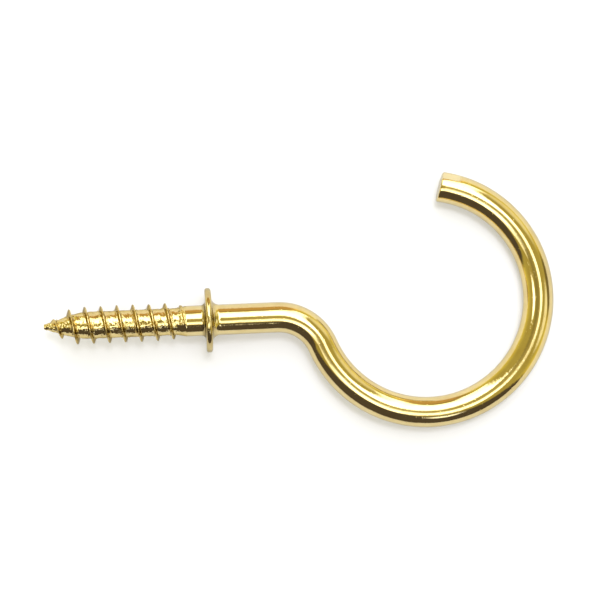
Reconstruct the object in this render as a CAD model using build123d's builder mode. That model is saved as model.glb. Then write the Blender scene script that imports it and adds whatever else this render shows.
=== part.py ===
"""A brass cup hook: a wood screw, a collar and an open bow, all formed from one wire.

It lies on a table as it comes to rest, on the collar's rim and the far side of the bow.
The origin is on the table, under the middle of the hook. +X runs from the screw's point
to the bow, +Y to the bow's open side, and +Z up. Sizes are in millimetres and degrees.
"""

from build123d import *
from math import acos, atan2, ceil, cos, degrees, hypot, radians, sin, sqrt, tan
import os

# Wire
WIRE_DIAMETER = 2.8

# Bow
PROJECTION = 32.0  # from the collar's seat to the outside of the bow
BOW_INSIDE_DIAMETER = 17.9
BOW_RISE = 1.1  # from the shank's axis to the bow's centre
BOW_SWEEP = 239.0
END_ROUNDING = 0.12

# Neck, the reverse bend between the shank and the bow
NECK_RADIUS = 4.35  # on the wire's centreline

# Collar
COLLAR_DIAMETER = 5.9
COLLAR_THICKNESS = 0.6
COLLAR_ROUNDING = 0.24
SEAT_FILLET = 0.35  # on the screw's side
HUB_FILLET = 0.75  # on the bow's side

# Screw core
SCREW_LENGTH = 14.7  # from the collar's seat to the point
ROOT_DIAMETER = 2.45
POINT_DIAMETER = 0.3  # of the blunt end
POINT_HALF_ANGLE = 18.5
POINT_BLEND = 1.1  # to each side of where the cone meets the core
PLAIN_SHANK = 1.75  # full wire between the seat and the thread
SHOULDER_LENGTH = 0.7  # over which the core narrows from the wire to the root
SHOULDER_STEP = 0.01  # left where the rolled part ends

# Thread, right-handed
THREAD_DIAMETER = 3.4
THREAD_PITCH = 1.46
THREAD_PHASE = 0.72  # from the seat to where a crest would face the bow's open side
CREST_WIDTH = 0.05
FLANK_WIDTH = 0.15  # along the axis, from the crest down to the root
LEAD_IN = 2.65  # from the point to the first full crest
RUN_OUT = 1.6  # over which the crest sinks into the plain shank
SECTIONS_PER_TURN = 12

wire_radius = WIRE_DIAMETER / 2
bow_radius = BOW_INSIDE_DIAMETER / 2 + wire_radius
bow_outer_radius = bow_radius + wire_radius
collar_radius = COLLAR_DIAMETER / 2
rim_radius = collar_radius - COLLAR_ROUNDING
root_radius = ROOT_DIAMETER / 2
thread_radius = THREAD_DIAMETER / 2
point_radius = POINT_DIAMETER / 2
hub_end = COLLAR_THICKNESS + HUB_FILLET

# The neck and the bow touch, so their centres are both radii apart
bow_along = PROJECTION - bow_outer_radius
neck_along = bow_along - sqrt((bow_radius + NECK_RADIUS) ** 2 - (BOW_RISE + NECK_RADIUS) ** 2)
touch_angle = degrees(atan2(BOW_RISE + NECK_RADIUS, bow_along - neck_along))
bow_start = 180 + touch_angle
bow_end = bow_start + BOW_SWEEP

# The tilt at which the collar's rim and the bow's far side both touch the table
reach = bow_along + bow_radius - COLLAR_THICKNESS + COLLAR_ROUNDING
drop = wire_radius - COLLAR_ROUNDING
tilt = acos(drop / hypot(rim_radius, reach)) - atan2(reach, rim_radius)
seat_height = COLLAR_ROUNDING + rim_radius * cos(tilt) + (COLLAR_THICKNESS - COLLAR_ROUNDING) * sin(tilt)

# The hook's own plane: X along the shank from the seat, Y to the bow's open side
far_side = (bow_along + bow_radius) * cos(tilt) + wire_radius
point_side = -SCREW_LENGTH * cos(tilt)
open_side = BOW_RISE + bow_outer_radius * sin(radians(bow_end))
closed_side = BOW_RISE - bow_outer_radius
hook_plane = Plane(
    origin=(-(far_side + point_side) / 2, -(open_side + closed_side) / 2, seat_height),
    x_dir=(cos(tilt), 0, -sin(tilt)),
    z_dir=(sin(tilt), 0, cos(tilt)),
)
shank_axis = Axis(hook_plane.origin, hook_plane.x_dir)


def smooth(share):
    """From 0 to 1 with level ends."""
    share = min(max(share, 0), 1)
    return share * share * (3 - 2 * share)


def core_radius(along):
    """The screw's core, a distance along the shank from the seat."""
    slope = tan(radians(POINT_HALF_ANGLE))
    past_cone = along + SCREW_LENGTH - (root_radius - point_radius) / slope
    if past_cone < -POINT_BLEND:
        return root_radius + past_cone * slope
    if past_cone < POINT_BLEND:
        return root_radius - slope * (past_cone - POINT_BLEND) ** 2 / (4 * POINT_BLEND)
    shoulder = (along + PLAIN_SHANK) / SHOULDER_LENGTH + 1
    return root_radius + (wire_radius - SHOULDER_STEP - root_radius) * smooth(shoulder)


def crest_radius(along):
    """The thread's crest, a distance along the shank from the seat."""
    lead_in = point_radius + (thread_radius - point_radius) * (along + SCREW_LENGTH) / LEAD_IN
    run_out = wire_radius + (thread_radius - wire_radius) * (-PLAIN_SHANK - along) / RUN_OUT
    return max(min(lead_in, thread_radius, run_out), core_radius(along))


def screw_section(along):
    """The screw cut across at a distance from the seat: a round root with one crest."""
    turned = radians(360 * (along + THREAD_PHASE) / THREAD_PITCH)
    crest_direction = hook_plane.y_dir * cos(turned) + hook_plane.z_dir * sin(turned)
    centre = shank_axis.position + shank_axis.direction * along
    crest_half = 360 * CREST_WIDTH / 2 / THREAD_PITCH
    ridge_half = crest_half + 360 * FLANK_WIDTH / THREAD_PITCH
    with BuildSketch(Plane(centre, x_dir=crest_direction, z_dir=shank_axis.direction)) as section:
        with BuildLine():
            crest = CenterArc((0, 0), crest_radius(along), -crest_half, 2 * crest_half)
            root = CenterArc((0, 0), core_radius(along), ridge_half, 360 - 2 * ridge_half)
            Line(crest @ 1, root @ 0)
            Line(root @ 1, crest @ 0)
        make_face()
    return section.sketch


# The screw, as cross-sections that turn once in each pitch
with BuildPart() as screw:
    threaded_length = SCREW_LENGTH - PLAIN_SHANK
    steps = ceil(threaded_length / THREAD_PITCH * SECTIONS_PER_TURN)
    loft([screw_section(threaded_length * step / steps - SCREW_LENGTH) for step in range(steps + 1)])

# The plain shank and the collar, turned about the shank's axis
with BuildPart() as collar:
    with BuildSketch(hook_plane):
        with BuildLine():
            Line((-PLAIN_SHANK, 0), (-PLAIN_SHANK, wire_radius))
            Line((-PLAIN_SHANK, wire_radius), (-SEAT_FILLET, wire_radius))
            seat_fillet = RadiusArc(
                (-SEAT_FILLET, wire_radius), (0, wire_radius + SEAT_FILLET), -SEAT_FILLET
            )
            Line(seat_fillet @ 1, (0, rim_radius))
            seat_rim = RadiusArc((0, rim_radius), (COLLAR_ROUNDING, collar_radius), COLLAR_ROUNDING)
            rim = Line(seat_rim @ 1, (COLLAR_THICKNESS - COLLAR_ROUNDING, collar_radius))
            hub_rim = RadiusArc(rim @ 1, (COLLAR_THICKNESS, rim_radius), COLLAR_ROUNDING)
            face = Line(hub_rim @ 1, (COLLAR_THICKNESS, wire_radius + HUB_FILLET))
            RadiusArc(face @ 1, (hub_end, wire_radius), -HUB_FILLET)
            Polyline((hub_end, wire_radius), (hub_end, 0), (-PLAIN_SHANK, 0))
        make_face()
    revolve(axis=shank_axis)

# The bent wire: the rest of the shank, the neck and the bow, cut square at its end
with BuildPart() as bow:
    with BuildLine(hook_plane) as wire_line:
        Line((hub_end, 0), (neck_along, 0))
        CenterArc((neck_along, -NECK_RADIUS), NECK_RADIUS, 90, touch_angle - 90)
        CenterArc((bow_along, BOW_RISE), bow_radius, bow_start, BOW_SWEEP)
    with BuildSketch(Plane(wire_line.line @ 0, z_dir=wire_line.line % 0)):
        Circle(wire_radius)
    sweep()
    cut_end = bow.faces().filter_by(GeomType.PLANE).sort_by(wire_line.wire())[-1]
    fillet(cut_end.edges(), END_ROUNDING)

with BuildPart() as cup_hook:
    add(collar.part)
    add(bow.part)
    add(screw.part)

cup_hook.part.label = "cup_hook"
os.makedirs("parts", exist_ok=True)
export_step(cup_hook.part, "parts/cup_hook.step")
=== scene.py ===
"""The looks of a brass cup hook: its wire, collar, rolled thread and sheared end.

The hook is worked out in millimetres, straight and lying along X from the collar's seat.
Then it is bent and laid on the table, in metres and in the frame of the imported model.
"""

from math import acos, atan2, cos, hypot, pi, radians, sin, sqrt
from types import SimpleNamespace

import bpy
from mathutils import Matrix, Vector


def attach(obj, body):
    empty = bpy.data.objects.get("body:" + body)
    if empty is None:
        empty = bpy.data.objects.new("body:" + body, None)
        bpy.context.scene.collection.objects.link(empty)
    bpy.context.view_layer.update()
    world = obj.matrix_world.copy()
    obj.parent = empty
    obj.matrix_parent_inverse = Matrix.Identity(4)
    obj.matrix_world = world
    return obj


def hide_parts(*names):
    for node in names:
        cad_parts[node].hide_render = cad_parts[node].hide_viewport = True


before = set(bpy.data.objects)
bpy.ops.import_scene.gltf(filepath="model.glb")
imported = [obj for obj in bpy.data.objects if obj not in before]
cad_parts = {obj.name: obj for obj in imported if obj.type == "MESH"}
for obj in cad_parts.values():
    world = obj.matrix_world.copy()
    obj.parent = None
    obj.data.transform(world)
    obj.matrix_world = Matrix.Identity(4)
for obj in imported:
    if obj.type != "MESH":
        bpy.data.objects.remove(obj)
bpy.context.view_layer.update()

MILLIMETRE = 0.001
MICRON = MILLIMETRE * 0.001

# Wire and bow
WIRE_DIAMETER = 2.8
PROJECTION = 32.0
BOW_INSIDE_DIAMETER = 17.9
BOW_RISE = 1.1
BOW_SWEEP = 239.0
NECK_RADIUS = 4.35

# Collar
COLLAR_DIAMETER = 5.9
COLLAR_THICKNESS = 0.6
COLLAR_ROUNDING = 0.24

# Screw
SCREW_LENGTH = 14.7
PLAIN_SHANK = 1.75

# The named inputs of the tree that makes the hook, in millimetres and radians
HOOK_SIZES = {
    "Wire diameter": WIRE_DIAMETER,
    "Projection": PROJECTION,
    "Bow inside diameter": BOW_INSIDE_DIAMETER,
    "Bow rise": BOW_RISE,
    "Bow sweep": radians(BOW_SWEEP),
    "Neck radius": NECK_RADIUS,
    "End rounding": 0.12,
    "Collar diameter": COLLAR_DIAMETER,
    "Collar thickness": COLLAR_THICKNESS,
    "Collar rounding": COLLAR_ROUNDING,
    "Seat fillet": 0.35,
    "Hub fillet": 0.75,
    "Screw length": SCREW_LENGTH,
    "Plain shank": PLAIN_SHANK,
    "Shoulder length": 0.7,
    "Shoulder blend": 1.2,
    "Root diameter": 2.45,
    "Point diameter": 0.4,
    "Point rounding": 0.1,
    "Cone length": 3.21,
    "Cone blend": 6.75,  # the radius between the point's cone and the core
    "Thread diameter": 3.4,
    "Thread pitch": 1.46,
    "Thread phase": 0.72,
    "Crest width": 0.05,
    "Flank width": 0.17,
    "Lead in": 2.65,
    "Run out": 1.6,
    "Waviness": 0.02,
    "Crest burrs": 0.22,  # as a share of the thread's height
    "Root marks": 0.15,
    "Root marks fade": 0.6,
    "Point marks": 0.08,
    "Point marks reach": 1.5,  # from the point, at full depth
    "Point marks fade": 1.7,
    "Flakes": 0.08,
    "Flake offset": 0.1,  # from the foot of the ridge
    "Flake width": 0.09,
    "Shear marks": 0.07,
    "Shear marks start": 0.5,
    "Shear marks full": 0.05,
    "Shear marks depth": 0.8,  # along the wire, as a share of their height on its side
    "Shear slant": 0.12,
    "Flat length": 1.8,
    "Flat fade": 0.4,
    "Flat depth": 0.09,
    "Flat tilt": radians(38),
    "Scrape depth": 0.02,
    "Crowding": 0.75,  # how far the columns close up on the thread's ridge
    "Crowding fade": 1.2,
    "Screw slant": 0.3,  # what the point and the shoulder add to the profile's length
    "End band": 0.5,  # of the wire's side, with the cut end's closer rings
    "Cut face band": 0.01,  # what is nearer the wire's end than this is the sheared face
}
HOOK_COUNTS = {
    "Columns": 96,
    "Rings on the screw": 440,
    "Rings on the collar": 130,
    "Rings on the bend": 210,
    "Rings on the cut end": 26,
}
HOOK_SEED = 7.0
ROUNDING_STEPS = 12
SEAM_GAP = 0.0004  # within which the poles' points and the columns' seam are merged

# The noise behind each mark: its scale, detail, roughness and what its seed adds
BURR_NOISE = (2.6, 3.0, 0.6, 0)
ROOT_NOISE = (1.9, 3.0, 0.55, 3)
WAVE_NOISE = (0.5, 2.0, 0.5, 5)
SHEAR_NOISE = (1.5, 3.0, 0.6, 8)
FLAKE_NOISE = (2.2, 3.0, 0.6, 11)
FLAKE_COVER = (0.02, 0.12)


class Field:
    """A number or vector that runs through a node tree, so that a formula reads as one."""

    def __init__(self, tree, socket):
        self.tree = tree
        self.socket = socket

    def through(self, kind, operation, others, result=0):
        """What a node makes of this field and some others."""
        node = self.tree.nodes.new(kind)
        node.operation = operation
        for socket, value in zip(node.inputs, (self, *others)):
            join(self.tree, socket, value)
        return Field(self.tree, node.outputs[result])

    def maths(self, operation, *others):
        return self.through("ShaderNodeMath", operation, others)

    def dot(self, other):
        return self.through("ShaderNodeVectorMath", "DOT_PRODUCT", [other], "Value")

    def __add__(self, other):
        return self.maths("ADD", other)

    def __radd__(self, other):
        return self.maths("ADD", other)

    def __sub__(self, other):
        return self.maths("SUBTRACT", other)

    def __rsub__(self, other):
        return self.maths("MULTIPLY", -1) + other

    def __mul__(self, other):
        return self.maths("MULTIPLY", other)

    def __rmul__(self, other):
        return self.maths("MULTIPLY", other)

    def __truediv__(self, other):
        return self.maths("DIVIDE", other)

    def __neg__(self):
        return self.maths("MULTIPLY", -1)

    def low(self, other):
        return self.maths("MINIMUM", other)

    def high(self, other):
        return self.maths("MAXIMUM", other)

    def sine(self):
        return self.maths("SINE")

    def cosine(self):
        return self.maths("COSINE")

    def root(self):
        return self.maths("SQRT")

    def size(self):
        return self.maths("ABSOLUTE")

    def share(self):
        """Held between 0 and 1."""
        return self.high(0).low(1)

    def step(self, start, end, low=0.0, high=1.0):
        """Smoothly from low to high as this goes from start to end."""
        names = ("Value", "From Min", "From Max", "To Min", "To Max")
        inputs = dict(zip(names, (self, start, end, low, high)))
        node = add_node(self.tree, "ShaderNodeMapRange", inputs, interpolation_type="SMOOTHSTEP")
        return output(self.tree, node, "Result")

    def fade(self, start, end, high=1.0, low=0.0):
        """Smoothly from high down to low as this goes from start to end."""
        return self.step(start, end, high, low)

    def between(self, rise, full, fall, gone):
        """Smoothly up from 0 to 1 over the first two values, and down over the last two."""
        return self.step(rise, full) * self.fade(fall, gone)

    def parts(self):
        node = add_node(self.tree, "ShaderNodeSeparateXYZ", {0: self})
        return [Field(self.tree, socket) for socket in node.outputs]


def join(tree, socket, value):
    """Gives a socket a field, or a constant."""
    if isinstance(value, Field):
        tree.links.new(value.socket, socket)
    else:
        socket.default_value = value


def add_node(tree, kind, inputs=None, **settings):
    """A node with its settings and inputs in place."""
    node = tree.nodes.new(kind)
    for name, value in settings.items():
        setattr(node, name, value)
    for name, value in (inputs or {}).items():
        join(tree, node.inputs[name], value)
    return node


def output(tree, node, name=0):
    return Field(tree, node.outputs[name])


def vector(tree, x, y, z):
    return output(tree, add_node(tree, "ShaderNodeCombineXYZ", {"X": x, "Y": y, "Z": z}))


def noise(tree, place, scale, detail, roughness, seed):
    """Noise about 0, within half each way."""
    node = add_node(
        tree,
        "ShaderNodeTexNoise",
        {"Vector": place, "W": seed, "Scale": scale, "Detail": detail, "Roughness": roughness},
        noise_dimensions="4D",
    )
    return output(tree, node) - 0.5


def corner_curve(tree, corners, rounding_steps):
    """A line through corners of (along, radius, rounding), each rounded by an arc."""
    index = output(tree, add_node(tree, "GeometryNodeInputIndex"))
    places = add_node(tree, "GeometryNodeIndexSwitch", data_type="VECTOR")
    roundings = add_node(tree, "GeometryNodeIndexSwitch", data_type="FLOAT")
    for node in (places, roundings):
        while len(node.index_switch_items) < len(corners):
            node.index_switch_items.new()
        join(tree, node.inputs[0], index)
    for number, (along, radius, rounding) in enumerate(corners, start=1):
        join(tree, places.inputs[number], vector(tree, along, radius, 0.0))
        join(tree, roundings.inputs[number], rounding)
    line = output(tree, add_node(tree, "GeometryNodeCurvePrimitiveLine"))
    spread = add_node(tree, "GeometryNodeResampleCurve", {"Curve": line, "Count": len(corners)})
    placed = add_node(
        tree,
        "GeometryNodeSetPosition",
        {"Geometry": output(tree, spread), "Position": output(tree, places)},
    )
    rounded = add_node(
        tree,
        "GeometryNodeFilletCurve",
        {"Curve": output(tree, placed), "Count": rounding_steps, "Radius": output(tree, roundings)},
        mode="POLY",
    )
    return output(tree, rounded)


def start_hook_tree():
    """The empty tree with its named inputs, and a function that reads one of them."""
    tree = bpy.data.node_groups.new("Cup hook", "GeometryNodeTree")
    tree.interface.new_socket("Geometry", in_out="OUTPUT", socket_type="NodeSocketGeometry")
    kinds = dict.fromkeys(HOOK_COUNTS, "NodeSocketInt")
    kinds.update(dict.fromkeys([*HOOK_SIZES, "Seed", "Lean"], "NodeSocketFloat"))
    kinds["Seat"] = "NodeSocketVector"
    for name, kind in kinds.items():
        tree.interface.new_socket(name, in_out="INPUT", socket_type=kind)
    entry = tree.nodes.new("NodeGroupInput")

    def size(name):
        return output(tree, entry, name)

    return tree, size


def measure(size):
    """The hook's radii, and where things are along the straight wire from the collar's seat."""
    hook = SimpleNamespace()
    hook.wire_radius = size("Wire diameter") / 2
    hook.root_radius = size("Root diameter") / 2
    hook.point_radius = size("Point diameter") / 2
    hook.thread_radius = size("Thread diameter") / 2
    hook.collar_radius = size("Collar diameter") / 2
    hook.bow_radius = size("Bow inside diameter") / 2 + hook.wire_radius
    hook.point_along = -size("Screw length")
    hook.thread_end = -size("Plain shank")

    # The neck and the bow touch, so their centres are both radii apart
    bow_along = size("Projection") - hook.bow_radius - hook.wire_radius
    both_radii = hook.bow_radius + size("Neck radius")
    both_rises = size("Bow rise") + size("Neck radius")
    between = (both_radii * both_radii - both_rises * both_rises).root()
    hook.neck_along = bow_along - between
    hook.bow_start = both_rises.maths("ARCTAN2", between) + pi
    hook.neck_length = size("Neck radius") * (1.5 * pi - hook.bow_start)
    bow_length = hook.bow_radius * size("Bow sweep")
    hook.wire_end = hook.neck_along + hook.neck_length + bow_length
    return hook


def hook_profile(tree, size, hook):
    """The profile from the point's middle to the middle of the cut end."""
    corners = [
        (hook.point_along, 0.0, 0.0),
        (hook.point_along, hook.point_radius, size("Point rounding")),
        (hook.point_along + size("Cone length"), hook.root_radius, size("Cone blend")),
        (hook.thread_end - size("Shoulder length"), hook.root_radius, size("Shoulder blend")),
        (hook.thread_end, hook.wire_radius, size("Shoulder blend")),
        (0.0, hook.wire_radius, size("Seat fillet")),
        (0.0, hook.collar_radius, size("Collar rounding")),
        (size("Collar thickness"), hook.collar_radius, size("Collar rounding")),
        (size("Collar thickness"), hook.wire_radius, size("Hub fillet")),
        (hook.wire_end, hook.wire_radius, size("End rounding")),
        (hook.wire_end, 0.0, 0.0),
    ]
    return corner_curve(tree, corners, ROUNDING_STEPS)


def rings_and_columns(tree, size, hook):
    """A plain tube, and for each point of it its column's angle and its place on the profile.

    The rings are closer together on the screw and the collar.
    """
    profile = hook_profile(tree, size, hook)
    profile_length = output(tree, add_node(tree, "GeometryNodeCurveLength", {"Curve": profile}))
    counts = [size(name) for name in HOOK_COUNTS if name != "Columns"]
    all_rings = counts[0] + counts[1] + counts[2] + counts[3]
    screw_reach = size("Screw length") - size("Plain shank") + size("Screw slant")
    collar_reach = size("Plain shank") + hook.collar_radius * 2 + size("Hub fillet")
    end_reach = hook.wire_radius + size("End band")
    bend_reach = profile_length - screw_reach - collar_reach - end_reach
    tube = add_node(
        tree,
        "GeometryNodeMeshCylinder",
        {"Vertices": size("Columns"), "Side Segments": all_rings, "Radius": 1.0, "Depth": 1.0},
        fill_type="NONE",
    )
    across, up, height = output(tree, add_node(tree, "GeometryNodeInputPosition")).parts()
    ring = (height + 0.5) * all_rings
    length = 0.0
    for count, reach in zip(counts, (screw_reach, collar_reach, bend_reach, end_reach)):
        length = (ring / count).share() * reach + length
        ring = ring - count
    sample = add_node(
        tree,
        "GeometryNodeSampleCurve",
        {"Curves": profile, "Length": length},
        mode="LENGTH",
        use_all_curves=True,
    )
    along, core, _ = output(tree, sample, "Position").parts()
    return tube, up.maths("ARCTAN2", across), along, core


def wind_thread(size, hook, column, along, core):
    """The angle round the wire, the way along it from the crest, and the thread's height.

    Columns follow the thread and are closer together on its ridge. The thread rises from
    its first turn at the point, and sinks into the plain shank where it runs out.
    """
    crowding = along.fade(hook.thread_end, hook.thread_end + size("Crowding fade"), size("Crowding"))
    from_crest = column - column.sine() * crowding
    turned = (along.low(hook.thread_end) + size("Thread phase")) * (2 * pi) / size("Thread pitch")
    beside_crest = from_crest.size() * size("Thread pitch") / (2 * pi)
    half_crest = size("Crest width") / 2
    ridge = beside_crest.fade(half_crest, half_crest + size("Flank width"))
    lead_in_rise = (hook.thread_radius - hook.point_radius) * (along - hook.point_along)
    run_out_rise = (hook.thread_radius - hook.wire_radius) * (hook.thread_end - along)
    lead_in = hook.point_radius + lead_in_rise / size("Lead in")
    run_out = hook.wire_radius + run_out_rise / size("Run out")
    solid_core = core.high(hook.point_radius)
    rise = (lead_in.low(hook.thread_radius).low(run_out) - solid_core).high(0.0)
    return from_crest + turned, beside_crest, ridge * rise


def rough_skin(tree, size, hook, along, angle, core, beside_crest, thread):
    """The radius and the place along, with the marks of the dies, the bender and the shear."""
    smooth_skin = vector(tree, along, angle.cosine() * core, angle.sine() * core)

    def mark(scale, detail, roughness, seed):
        return noise(tree, smooth_skin, scale, detail, roughness, size("Seed") + seed)

    rolled = along.fade(hook.thread_end - size("Root marks fade"), hook.thread_end)
    point_marks_end = hook.point_along + size("Point marks reach")
    at_point = along.fade(point_marks_end, point_marks_end + size("Point marks fade"))
    marks_depth = size("Root marks") * rolled + size("Point marks") * at_point
    marks = mark(*ROOT_NOISE) * marks_depth

    ridge_foot = size("Crest width") / 2 + size("Flank width")
    beside_foot = (beside_crest - ridge_foot - size("Flake offset")).size()
    flaked = beside_foot.fade(0.0, size("Flake width")) * mark(*FLAKE_NOISE).step(*FLAKE_COVER)
    flakes = flaked * rolled * size("Flakes")

    waves = mark(*WAVE_NOISE) * size("Waviness")
    shear_start = hook.wire_end - size("Shear marks start")
    at_shear = along.step(shear_start, hook.wire_end - size("Shear marks full"))
    shear = mark(*SHEAR_NOISE) * size("Shear marks") * at_shear
    burrs = mark(*BURR_NOISE) * size("Crest burrs")

    at_pole = (core / hook.point_radius).share()
    radius = core + thread * (burrs + 1.0) + (marks + flakes + waves + shear) * at_pole
    slant = angle.cosine() * radius * at_shear * size("Shear slant")
    return radius, along + shear * at_pole * size("Shear marks depth") + slant


def flatten_end(size, hook, along, round_y, round_z):
    """The flat that a bending pin leaves on the outside of the free end, and its depth."""
    flat_start = hook.wire_end - size("Flat length")
    at_flat = along.step(flat_start, flat_start + size("Flat fade"))
    outward = round_z * size("Flat tilt").sine() - round_y * size("Flat tilt").cosine()
    depth = (outward - hook.wire_radius + size("Flat depth")).high(0.0) * at_flat
    y = round_y + depth * size("Flat tilt").cosine()
    z = round_z - depth * size("Flat tilt").sine()
    return y, z, depth


def bend(tree, size, hook, along, sunk, y, z):
    """The place of a point once the wire runs straight, round the neck and back round the bow."""
    neck_turn = (along - hook.neck_along).high(0.0).low(hook.neck_length) / size("Neck radius")
    bow_turn = (sunk - hook.neck_along - hook.neck_length).high(0.0) / hook.bow_radius
    heading = bow_turn - neck_turn
    bow_place = hook.bow_start + bow_turn
    bent_x = (
        along.low(hook.neck_along)
        + size("Neck radius") * neck_turn.sine()
        + hook.bow_radius * (bow_place.cosine() - hook.bow_start.cosine())
        - heading.sine() * y
    )
    bent_y = (
        size("Neck radius") * (neck_turn.cosine() - 1.0)
        + hook.bow_radius * (bow_place.sine() - hook.bow_start.sine())
        + heading.cosine() * y
    )
    return vector(tree, bent_x, bent_y, z)


def set_finishes(tree, size, hook, skin, materials):
    """One finish for the drawn wire, one for the rolled screw and one for the sheared end."""
    place = add_node(
        tree,
        "GeometryNodeInputNamedAttribute",
        {"Name": "straight_wire"},
        data_type="FLOAT_VECTOR",
    )
    along = output(tree, place, "Attribute").parts()[0]
    on_screw = along.maths("LESS_THAN", hook.thread_end)
    on_cut_end = along.maths("GREATER_THAN", hook.wire_end - size("Cut face band"))
    for material, selection in zip(materials, (True, on_screw, on_cut_end)):
        inputs = {"Geometry": skin, "Material": material, "Selection": selection}
        skin = output(tree, add_node(tree, "GeometryNodeSetMaterial", inputs))
    return skin


def hook_tree(materials):
    """The hook as one skin: rings along the wire, and columns that wind with the thread."""
    tree, size = start_hook_tree()
    hook = measure(size)
    tube, column, along, core = rings_and_columns(tree, size, hook)
    angle, beside_crest, thread = wind_thread(size, hook, column, along, core)
    radius, sunk = rough_skin(tree, size, hook, along, angle, core, beside_crest, thread)
    round_y = angle.cosine() * radius
    round_z = angle.sine() * radius
    y, z, flat_depth = flatten_end(size, hook, along, round_y, round_z)
    place = bend(tree, size, hook, along, sunk, y, z)

    # What the finishes read: the place on the straight wire, how far a crest is along it,
    # and where the pin has scraped the lacquer
    skin = output(tree, tube)
    for name, value, data_type in (
        ("straight_wire", vector(tree, along, y, z), "FLOAT_VECTOR"),
        ("beside_crest", beside_crest, "FLOAT"),
        ("scraped", flat_depth.step(0.0, size("Scrape depth")), "FLOAT"),
    ):
        kept = add_node(
            tree,
            "GeometryNodeStoreNamedAttribute",
            {"Geometry": skin, "Name": name, "Value": value},
            data_type=data_type,
            domain="POINT",
        )
        skin = output(tree, kept)
    lean = vector(tree, 0.0, size("Lean"), 0.0)
    scale = (MILLIMETRE, MILLIMETRE, MILLIMETRE)
    for kind, inputs in (
        ("GeometryNodeSetPosition", {"Position": place}),
        ("GeometryNodeMergeByDistance", {"Distance": SEAM_GAP}),
        ("GeometryNodeTransform", {"Translation": size("Seat"), "Rotation": lean, "Scale": scale}),
        ("GeometryNodeSetShadeSmooth", {}),
        ("GeometryNodeRealizeInstances", {}),
    ):
        skin = output(tree, add_node(tree, kind, {"Geometry": skin, **inputs}))
    skin = set_finishes(tree, size, hook, skin, materials)
    add_node(tree, "NodeGroupOutput", {0: skin})
    return tree


def lean_and_seat():
    """How far the hook leans when its collar and bow touch the table, and its seat's place."""
    wire_radius = WIRE_DIAMETER / 2
    bow_radius = BOW_INSIDE_DIAMETER / 2 + wire_radius
    rim_radius = COLLAR_DIAMETER / 2 - COLLAR_ROUNDING
    bow_along = PROJECTION - bow_radius - wire_radius
    between = sqrt((bow_radius + NECK_RADIUS) ** 2 - (BOW_RISE + NECK_RADIUS) ** 2)
    bow_end = pi + atan2(BOW_RISE + NECK_RADIUS, between) + radians(BOW_SWEEP)
    rim_along = COLLAR_THICKNESS - COLLAR_ROUNDING
    reach = bow_along + bow_radius - rim_along
    drop = wire_radius - COLLAR_ROUNDING
    lean = acos(drop / hypot(rim_radius, reach)) - atan2(reach, rim_radius)
    far_side = (bow_along + bow_radius) * cos(lean) + wire_radius
    point_side = -SCREW_LENGTH * cos(lean)
    open_side = BOW_RISE + (bow_radius + wire_radius) * sin(bow_end)
    closed_side = BOW_RISE - bow_radius - wire_radius
    height = COLLAR_ROUNDING + rim_radius * cos(lean) + rim_along * sin(lean)
    seat = Vector((-(far_side + point_side) / 2, -(open_side + closed_side) / 2, height))
    return lean, seat * MILLIMETRE


def make_hook(materials):
    """The tree's result as a plain mesh."""
    tree = hook_tree(materials)
    holder = bpy.data.objects.new("hook_maker", bpy.data.meshes.new("hook_maker"))
    bpy.context.scene.collection.objects.link(holder)
    modifier = holder.modifiers.new("Cup hook", "NODES")
    modifier.node_group = tree
    lean, seat = lean_and_seat()
    values = {**HOOK_COUNTS, **HOOK_SIZES, "Seed": HOOK_SEED, "Seat": seat, "Lean": lean}
    for item in tree.interface.items_tree:
        if item.in_out == "INPUT":
            modifier[item.identifier] = values[item.name]
    graph = bpy.context.evaluated_depsgraph_get()
    mesh = bpy.data.meshes.new_from_object(holder.evaluated_get(graph), depsgraph=graph)
    mesh.name = "cup_hook_skin"
    bpy.data.objects.remove(holder)
    hook = bpy.data.objects.new("cup_hook_skin", mesh)
    bpy.context.scene.collection.objects.link(hook)
    return hook


def shade_group(name, inputs, result):
    """An empty shader group with its sockets, its inputs as fields, and its exit node."""
    tree = bpy.data.node_groups.new(name, "ShaderNodeTree")
    tree.interface.new_socket("Place", in_out="INPUT", socket_type="NodeSocketVector")
    for socket_name, value in inputs.items():
        socket = tree.interface.new_socket(
            socket_name, in_out="INPUT", socket_type="NodeSocketFloat"
        )
        socket.default_value = value
    tree.interface.new_socket(result, in_out="OUTPUT", socket_type="NodeSocketFloat")
    entry = tree.nodes.new("NodeGroupInput")
    fields = [output(tree, entry, socket_name) for socket_name in ("Place", *inputs)]
    return tree, fields, tree.nodes.new("NodeGroupOutput")


def lines_group():
    """Fine lines or waves, stretched along the wire or across it."""
    inputs = {"Along": 1.0, "Across": 1.0, "Detail": 2.0, "Seed": 0.0}
    tree, fields, exit_node = shade_group("Lines", inputs, "Height")
    place, along, across, detail, seed = fields
    x, y, z = place.parts()
    stretched = vector(tree, x * along, y * across, z * across)
    height = noise(tree, stretched, scale=1.0, detail=detail, roughness=0.55, seed=seed) + 0.5
    join(tree, exit_node.inputs[0], height)
    return tree


def pits_group():
    """Small round pits, thick in some places and missing in others."""
    inputs = {"Scale": 5.0, "Size": 0.2, "Cover": 0.5, "Seed": 0.0}
    tree, fields, exit_node = shade_group("Pits", inputs, "Depth")
    place, scale, pit_size, cover, seed = fields
    cells = add_node(
        tree,
        "ShaderNodeTexVoronoi",
        {"Vector": place, "W": seed, "Scale": scale},
        voronoi_dimensions="4D",
        feature="F1",
    )
    pit = output(tree, cells, "Distance").fade(0.0, pit_size)
    patchy = noise(tree, place, scale=0.45, detail=2.0, roughness=0.5, seed=seed) + cover
    join(tree, exit_node.inputs[0], pit * patchy.step(0.35, 0.65))
    return tree


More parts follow.
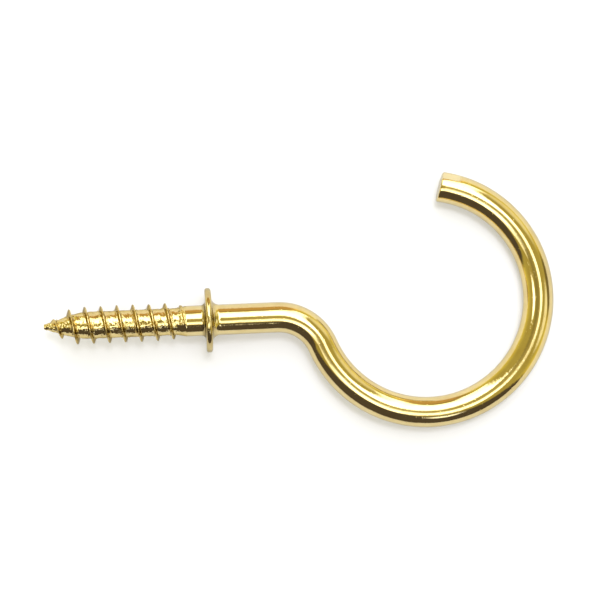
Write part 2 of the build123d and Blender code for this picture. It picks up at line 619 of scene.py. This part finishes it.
def tarnish_group():
    """Cloudy patches, from 0 where the metal is clean to 1 where it has dulled."""
    inputs = {"Scale": 0.8, "Cover": 0.5, "Softness": 0.5, "Seed": 0.0}
    tree, fields, exit_node = shade_group("Tarnish", inputs, "Mask")
    place, scale, cover, softness, seed = fields
    clouds = noise(tree, place, scale, detail=5.0, roughness=0.62, seed=seed) + cover
    join(tree, exit_node.inputs[0], clouds.step(0.5 - softness / 2, softness / 2 + 0.5))
    return tree


LINES = lines_group()
PITS = pits_group()
TARNISH = tarnish_group()

BRASS_COLOUR = (0.75, 0.605, 0.28, 1.0)
DULL_COLOUR = (0.63, 0.465, 0.18, 1.0)
BARE_COLOUR = (0.88, 0.78, 0.48, 1.0)
# The colour of grime on the sheared face, and of the grime and painted shade in the collar's
# corners, on its rim and at the thread's foot
GRIME_AND_SHADE_COLOUR = (0.12, 0.07, 0.025, 1.0)
DULL_SHARE = 0.7
BARE_SHARE = 0.8
GRIME_AND_SHADE_SHARE = 0.9
COAT_ROUGHNESS = 0.05

# How much each adds to the roughness, and how much deeper the lines are where it is scraped
PATINA_DULLING = 0.04
GRIME_AND_SHADE_DULLING = 0.25
SCRAPED_LINES = 6.0

# The bender leaves its waves round a place along the wire, and fewer further off
BENDER_ALONG = 34.0
BENDER_REACH = (1.5, 6.0)
WAVES_ELSEWHERE = 0.35

# Where grime and painted shade lie, in millimetres along the wire from the collar's seat, or out
# from its axis: grime and painted shade in the collar's corners and at the thread's foot, painted
# shade on the collar's rim, and grime on the sheared face
SEAT_CORNER = (-0.45, -0.1, 0.0, 0.05)
HUB_CORNER = (0.55, 0.6, 0.7, 1.2)
CORNERS_FROM_AXIS = (1.5, 2.3)
RIM = (-0.05, 0.05, 0.5, 0.62)
RIM_FROM_AXIS = (2.4, 2.7)
SEAT_GRIME_AND_SHADE = 0.6
HUB_GRIME_AND_SHADE = 0.15
RIM_PAINTED_SHADE = 0.3
THREADED_PART = (-2.2, -1.8)
FLANK_FROM_CREST = (0.1, 0.2)
ROOT_FROM_CREST = (0.22, 0.42)
ROOT_GRIME_AND_SHADE = 0.8
CUT_FACE_FROM_AXIS = (0.0, 2.0)
CUT_EDGE_GRIME = 0.6


def use_group(tree, group, **values):
    node = add_node(tree, "ShaderNodeGroup", node_tree=group)
    for name, value in values.items():
        join(tree, node.inputs[name], value)
    return output(tree, node)


def mixed(tree, share, first, second):
    """One colour laid over another by a share from 0 to 1."""
    node = add_node(tree, "ShaderNodeMix", data_type="RGBA")
    join(tree, node.inputs["Factor"], share)
    for socket, colour in zip([s for s in node.inputs if s.type == "RGBA"], (first, second)):
        join(tree, socket, colour)
    return Field(tree, [s for s in node.outputs if s.type == "RGBA"][0])


def attribute(tree, name, result):
    return output(tree, add_node(tree, "ShaderNodeAttribute", attribute_name=name), result)


def brass(
    name, grime_and_shade_mask, grime_and_shade_cover, line_depth, wave_depth, pit_depth, pit_cover, roughness, coat, rim_tint
):
    """Lacquered brass. Depths are in thousandths of a millimetre, and roughness is the least."""
    material = bpy.data.materials.new(name)
    material.use_nodes = True
    tree = material.node_tree
    shader = tree.nodes["Principled BSDF"]
    shader.inputs["Metallic"].default_value = 1.0
    shader.inputs["Specular Tint"].default_value = rim_tint
    shader.inputs["Coat Roughness"].default_value = COAT_ROUGHNESS
    place = attribute(tree, "straight_wire", "Vector")
    crest = attribute(tree, "beside_crest", "Fac")
    flat = attribute(tree, "scraped", "Fac")
    along, y, z = place.parts()
    radius = (y * y + z * z).root()

    def patches(**values):
        return use_group(tree, TARNISH, Place=place, **values)

    def ripples(**values):
        return use_group(tree, LINES, Place=place, **values)

    scraped = flat * patches(Scale=2.0, Cover=0.66, Softness=0.1, Seed=12.0)
    tarnish = patches(Scale=0.9, Cover=0.42, Softness=0.5, Seed=6.0)
    grime_and_shade_patches = patches(Scale=3.2, Cover=grime_and_shade_cover, Softness=0.16, Seed=9.0)
    # This mask darkens the colour and dulls the lacquer: grime on the sheared face, grime and
    # painted shade in the collar's corners and at the thread's foot, and painted shade on the
    # collar's rim
    grime_and_shade = (grime_and_shade_mask(along, radius, crest) * grime_and_shade_patches).share()
    lines = ripples(Along=0.35, Across=14.0, Detail=3.0, Seed=2.0)
    bender = (along - BENDER_ALONG).size().fade(*BENDER_REACH, low=WAVES_ELSEWHERE)
    waves = ripples(Along=2.8, Across=3.2, Detail=2.0, Seed=4.0) * bender
    pits = use_group(tree, PITS, Place=place, Scale=4.5, Size=0.3, Cover=pit_cover, Seed=1.0)

    colour = mixed(tree, tarnish * DULL_SHARE, BRASS_COLOUR, DULL_COLOUR)
    colour = mixed(tree, scraped * BARE_SHARE, colour, BARE_COLOUR)
    colour = mixed(tree, grime_and_shade * GRIME_AND_SHADE_SHARE, colour, GRIME_AND_SHADE_COLOUR)
    join(tree, shader.inputs["Base Color"], colour)
    join(tree, shader.inputs["Coat Weight"], (1.0 - grime_and_shade) * coat)
    dulled = (tarnish + lines) * PATINA_DULLING + (grime_and_shade + scraped) * GRIME_AND_SHADE_DULLING
    join(tree, shader.inputs["Roughness"], dulled + roughness)
    scratches = lines * line_depth * (scraped * SCRAPED_LINES + 1.0)
    height = scratches + waves * wave_depth - pits * pit_depth
    bump = add_node(tree, "ShaderNodeBump", {"Height": height, "Distance": MICRON, "Strength": 1.0})
    join(tree, shader.inputs["Normal"], output(tree, bump))
    return material


def collar_grime_and_shade(along, radius, crest):
    """Grime and painted shade in the corners on both sides of the collar, and painted shade on its
    rim that darkens its reflection of the table, and 0 elsewhere.
    """
    at_corners = along.between(*SEAT_CORNER) * SEAT_GRIME_AND_SHADE + along.between(*HUB_CORNER) * HUB_GRIME_AND_SHADE
    rim = along.between(*RIM) * radius.step(*RIM_FROM_AXIS)
    return at_corners * radius.fade(*CORNERS_FROM_AXIS) + rim * RIM_PAINTED_SHADE


def thread_grime_and_shade(along, radius, crest):
    """Grime and painted shade: 1 at the foot of the thread, a little less over its roots, and 0 on
    its crests.
    """
    foot = crest.step(*FLANK_FROM_CREST) * crest.fade(*ROOT_FROM_CREST, low=ROOT_GRIME_AND_SHADE)
    return foot * along.fade(*THREADED_PART)


def end_grime(along, radius, crest):
    """1 in the middle of the sheared face, and a little less towards its edge."""
    return radius.fade(*CUT_FACE_FROM_AXIS, low=CUT_EDGE_GRIME)


hook = make_hook(
    [
        brass(
            "drawn_brass",
            grime_and_shade_mask=collar_grime_and_shade,
            grime_and_shade_cover=0.62,
            line_depth=0.8,
            wave_depth=9.0,
            pit_depth=7.0,
            pit_cover=0.62,
            roughness=0.04,
            coat=0.9,
            rim_tint=(0.36, 0.33, 0.24, 1.0),
        ),
        brass(
            "rolled_brass",
            grime_and_shade_mask=thread_grime_and_shade,
            grime_and_shade_cover=0.37,
            line_depth=2.0,
            wave_depth=100.0,
            pit_depth=8.0,
            pit_cover=0.7,
            roughness=0.02,
            coat=0.3,
            rim_tint=(0.32, 0.26, 0.14, 1.0),
        ),
        brass(
            "sheared_brass",
            grime_and_shade_mask=end_grime,
            grime_and_shade_cover=0.36,
            line_depth=3.0,
            wave_depth=4.0,
            pit_depth=6.0,
            pit_cover=0.6,
            roughness=0.18,
            coat=0.3,
            rim_tint=(0.6, 0.6, 0.55, 1.0),
        ),
    ]
)
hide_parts("cup_hook")
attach(hook, "root")

# Round patches of the studio, each with its angle round the hook, its angle from straight up,
# its radius and its soft edge, in degrees, and last how bright the light in it is
SOFT_LIGHTS = (
    (178, 36, 7, 7, 3.0),
    (228, 25, 7, 7, 1.2),
    (260, 20, 8.5, 6, 2.0),
    (312, 19, 7, 4, 2.0),
    (12, 20, 8, 5, 1.4),
    (286, 45, 5, 6, 2.0),
    (350, 58, 10, 12, 0.8),
    (38, 66, 12, 14, 0.5),
)
# The same, with how much of the room's light each takes away
DARK_PLACES = (
    (260, 93, 63, 6, 1.0),
    (4, 80, 13, 8, 0.8),
    (87, 80, 17, 10, 0.9),
    (180, 9, 11, 10, 0.4),
)
FAN_CUTS = ((12, 62, 37, 6), (85, 68, 14, 7))
WARM_WALL = (84, 82, 17, 12)
CAMERA_SHADE = (100, 5, 12, 6)
CAMERA_SHADE_DEPTH = 0.98

# Upright planes that bound the fan and the ring, by their angle round the hook and soft edge
FAN_SIDES = ((27, 0.06), (118, 0.05))
RING_SIDE = (316, 0.06)

# Angles from straight up between which a light goes from its first level to its second
FAN_FOOT = (71, 64)
FAN_RISE = (55, 25)
RING_FOOT = (31, 24)
ROOM_FALL = (50, 90)
HORIZON_RISE = (78, 90)

FAN_LEVELS = (2.5, 3.5)
ROOM_LEVELS = (0.44, 0.76)
RING_BRIGHTNESS = 0.65
HORIZON_BRIGHTNESS = 0.22
WALL_BRIGHTNESS = 0.55
SHADE_BRIGHTNESS = 0.105
LIGHT_COLOUR = (0.95, 1.0, 1.06, 1.0)
ROOM_COLOUR = (1.0, 0.87, 0.15, 1.0)
WALL_COLOUR = (1.0, 0.58, 0.18, 1.0)
SHADE_COLOUR = (1.0, 0.82, 0.68, 1.0)

KEY_ENERGY = 1.1
KEY_WIDTH = 12
KEY_PLACE = (70, 13)

TABLE_HALF = 2.0
TABLE_COLOUR = (0.6, 0.61, 0.7, 1.0)
TABLE_ROUGHNESS = 0.3
TABLE_GLOW = 0.3

# The picture's width in millimetres at its middle, that middle's place, and its turn
PICTURE_WIDTH = 54.92
PICTURE_MIDDLE = (0.08, 0.47, 2.0)
PICTURE_TURN = -2.4
LENS = 200
SENSOR_WIDTH = 36


def toward(azimuth, from_zenith):
    """A direction, from its angle round the hook and its angle from straight up."""
    azimuth = radians(azimuth)
    from_zenith = radians(from_zenith)
    return (cos(azimuth) * sin(from_zenith), sin(azimuth) * sin(from_zenith), cos(from_zenith))


def disc(direction, azimuth, from_zenith, radius, edge):
    """1 inside a round patch of the studio and 0 outside it."""
    near = direction.dot(toward(azimuth, from_zenith))
    return near.step(cos(radians(radius + edge / 2)), cos(radians(radius - edge / 2)))


def side(direction, azimuth, edge):
    """1 on one side of an upright plane through the hook and 0 on the other."""
    return direction.dot(toward(azimuth, 90)).step(-edge, edge)


def by_angle(height, angles, levels=(0.0, 1.0)):
    """Smoothly from one level to another between two angles from straight up."""
    start, end = (cos(radians(angle)) for angle in angles)
    return height.step(start, end, *levels)


def softboxes(direction, height):
    """The fan beside the camera, the ring across from it and the small soft lights."""
    fan = side(direction, *FAN_SIDES[0]) * side(direction, *FAN_SIDES[1])
    fan = fan * by_angle(height, FAN_FOOT)
    for cut in FAN_CUTS:
        fan = fan * (1.0 - disc(direction, *cut))
    fan = fan * by_angle(height, FAN_RISE, FAN_LEVELS)
    ring = side(direction, *RING_SIDE) * by_angle(height, RING_FOOT)
    lights = fan + ring * RING_BRIGHTNESS
    for *patch, brightness in SOFT_LIGHTS:
        lights = lights + disc(direction, *patch) * brightness
    return lights


def make_studio():
    """A dim room with a wide softbox beside the camera and small soft lights round it."""
    world = bpy.data.worlds.new("studio")
    bpy.context.scene.world = world
    world.use_nodes = True
    tree = world.node_tree
    direction = output(tree, tree.nodes.new("ShaderNodeTexCoord"), "Generated")
    height = direction.parts()[2]
    room = by_angle(height, ROOM_FALL, ROOM_LEVELS)
    horizon = by_angle(height, HORIZON_RISE) * HORIZON_BRIGHTNESS
    for *patch, depth in DARK_PLACES:
        left = 1.0 - disc(direction, *patch) * depth
        room = left * room
        horizon = left * horizon
    open_air = 1.0 - disc(direction, *CAMERA_SHADE) * CAMERA_SHADE_DEPTH
    lights = (softboxes(direction, height) + horizon) * open_air
    wall = disc(direction, *WARM_WALL) * WALL_BRIGHTNESS
    background = tree.nodes["Background"]
    join(tree, background.inputs["Color"], SHADE_COLOUR)
    join(tree, background.inputs["Strength"], SHADE_BRIGHTNESS)
    studio = output(tree, background)
    for colour, level in ((ROOM_COLOUR, room), (WALL_COLOUR, wall), (LIGHT_COLOUR, lights)):
        lit = add_node(tree, "ShaderNodeBackground", {"Color": colour, "Strength": level})
        both = add_node(tree, "ShaderNodeAddShader", {0: studio, 1: output(tree, lit)})
        studio = output(tree, both)
    join(tree, tree.nodes["World Output"].inputs["Surface"], studio)


def make_floor():
    """A white table, which the camera and the brass see a little brighter than it is lit."""
    mesh = bpy.data.meshes.new("table")
    near, far = -TABLE_HALF, TABLE_HALF
    corners = [(near, near, 0), (far, near, 0), (far, far, 0), (near, far, 0)]
    mesh.from_pydata(corners, [], [(0, 1, 2, 3)])
    floor = bpy.data.objects.new("table", mesh)
    bpy.context.scene.collection.objects.link(floor)
    material = bpy.data.materials.new("white_table")
    material.use_nodes = True
    tree = material.node_tree
    shader = tree.nodes["Principled BSDF"]
    shader.inputs["Base Color"].default_value = TABLE_COLOUR
    shader.inputs["Roughness"].default_value = TABLE_ROUGHNESS
    shader.inputs["Emission Color"].default_value = (1.0, 1.0, 1.0, 1.0)
    rays = tree.nodes.new("ShaderNodeLightPath")
    seen = output(tree, rays, "Is Camera Ray") + output(tree, rays, "Is Glossy Ray")
    seen = seen + output(tree, rays, "Is Transmission Ray")
    join(tree, shader.inputs["Emission Strength"], seen.share() * TABLE_GLOW)
    mesh.materials.append(material)


def make_camera():
    """Straight above, turned as the hook lies in the picture."""
    data = bpy.data.cameras.new("camera")
    data.lens = LENS
    data.sensor_width = SENSOR_WIDTH
    camera = bpy.data.objects.new("camera", data)
    bpy.context.scene.collection.objects.link(camera)
    distance = PICTURE_WIDTH * LENS / SENSOR_WIDTH
    camera.location = (Vector(PICTURE_MIDDLE) + Vector((0, 0, distance))) * MILLIMETRE
    camera.rotation_euler = (0, 0, radians(PICTURE_TURN))
    bpy.context.scene.camera = camera


def make_key():
    """A lamp high beside the camera, which gives the hook its close shadow."""
    data = bpy.data.lights.new("key", "SUN")
    data.energy = KEY_ENERGY
    data.angle = radians(KEY_WIDTH)
    lamp = bpy.data.objects.new("key", data)
    bpy.context.scene.collection.objects.link(lamp)
    lamp.rotation_euler = Vector(toward(*KEY_PLACE)).to_track_quat("Z", "Y").to_euler()
    lamp.visible_glossy = False


make_studio()
make_key()
make_floor()
make_camera()
bpy.context.scene.view_settings.view_transform = "Standard"
